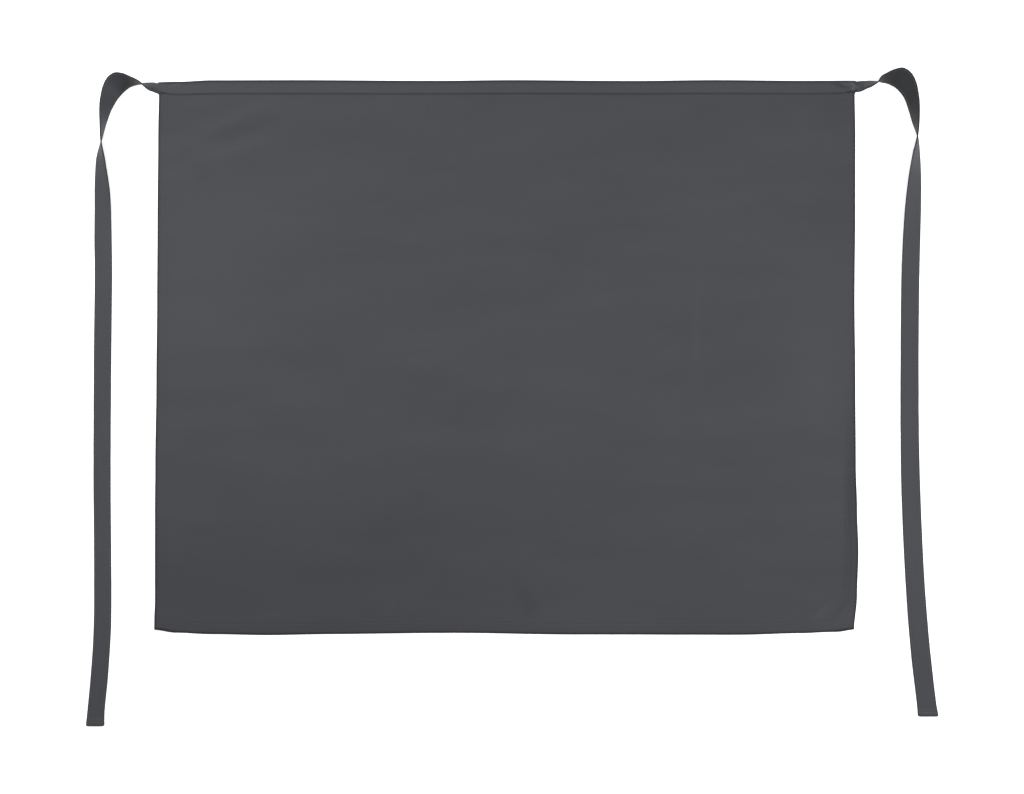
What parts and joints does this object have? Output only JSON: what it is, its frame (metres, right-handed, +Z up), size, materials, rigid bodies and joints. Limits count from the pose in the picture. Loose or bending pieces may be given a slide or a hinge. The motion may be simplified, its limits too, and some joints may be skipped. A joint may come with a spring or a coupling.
{
  "type": "waist apron",
  "caption": "charcoal cloth waist apron laid flat: a hemmed rectangular panel under a narrow folded waistband, with a long flat tie sewn into each end and turned down beside the panel",
  "frame": {"origin": "middle of the waistband's flat back, on the surface that the apron lies on", "axes": "+X along the waistband, to the right of someone facing the apron's front; +Y across the apron towards the waist; +Z up from the surface, out of the front"},
  "size_m": [0.8526, 0.6568, 0.0184],
  "materials": {
    "panel_cloth": "matte charcoal twill with pressed hems",
    "waistband_cloth": "matte charcoal twill, folded over and edge stitched",
    "tie_tape": "matte charcoal twill tape, edge stitched"
  },
  "bodies": {
    "root": {"panel": "panel_cloth", "waistband": "waistband_cloth", "tie_left": "tie_tape", "tie_right": "tie_tape"}
  },
  "joints": []
}
